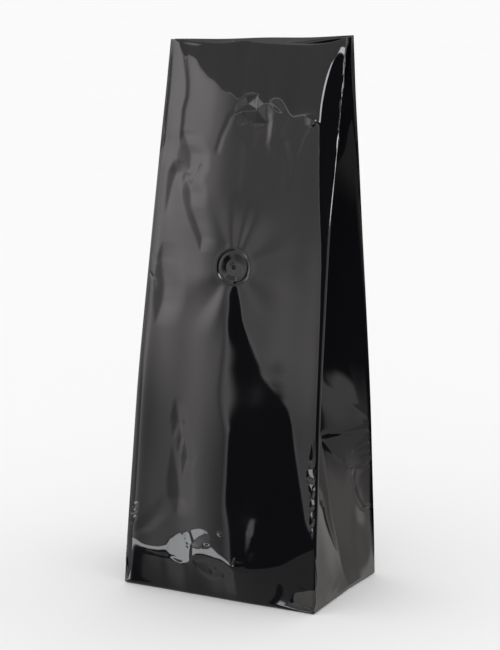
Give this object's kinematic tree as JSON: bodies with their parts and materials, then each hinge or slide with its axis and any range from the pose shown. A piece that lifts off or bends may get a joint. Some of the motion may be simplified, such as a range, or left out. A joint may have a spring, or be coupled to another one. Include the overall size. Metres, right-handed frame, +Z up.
{
  "type": "side gusset bag",
  "caption": "Tall side-gusset bag of glossy black film, standing open and empty on a folded foot, with a pressed ring and vent of a one-way valve.",
  "frame": {"origin": "middle of the foot, on the surface that the bag stands on", "axes": "+Z up from the foot to the mouth; the front panel with the valve faces -Y; +X to the right as the front is seen"},
  "size_m": [0.127, 0.0966, 0.3274],
  "materials": {
    "black_gloss_film": "gloss",
    "black_valve_plastic": "matte"
  },
  "bodies": {
    "root": {"film_bag": "black_gloss_film", "degassing_valve": "black_valve_plastic"}
  },
  "joints": []
}
